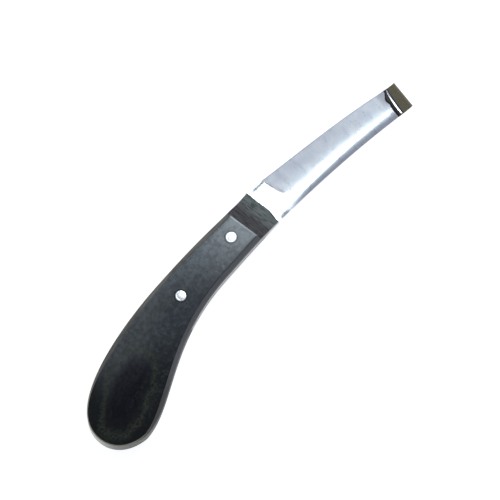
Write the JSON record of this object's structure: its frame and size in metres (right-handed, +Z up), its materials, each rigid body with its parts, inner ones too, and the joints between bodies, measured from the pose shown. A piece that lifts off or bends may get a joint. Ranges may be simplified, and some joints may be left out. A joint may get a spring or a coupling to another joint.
{
  "type": "hoof knife",
  "caption": "Farrier's hoof knife: a hollow-ground steel blade with a curled hook at its tip, riveted into a curved, black-stained wooden handle that widens into a rounded butt.",
  "frame": {"origin": "under the middle of the knife's bounding box, on the surface that the handle's flat back rests on", "axes": "+X runs along the line of the two rivets toward the hook, +Y to the side of the hollow-ground edge, +Z up, to the side that the hook curls to"},
  "size_m": [0.2095, 0.0414, 0.0208],
  "materials": {
    "blade_steel": "ground and polished steel, fine marks across the blade, dark and unpolished outside the hook",
    "handle_wood": "black-stained hardwood with a worn satin polish",
    "rivet_sleeve": "ground flush with the wood and bright at the rim",
    "rivet_pin": "ground flush, satin"
  },
  "bodies": {
    "root": {"blade": "blade_steel", "handle": "handle_wood", "front_rivet_sleeve": "rivet_sleeve", "front_rivet_pin": "rivet_pin", "rear_rivet_sleeve": "rivet_sleeve", "rear_rivet_pin": "rivet_pin"}
  },
  "joints": []
}
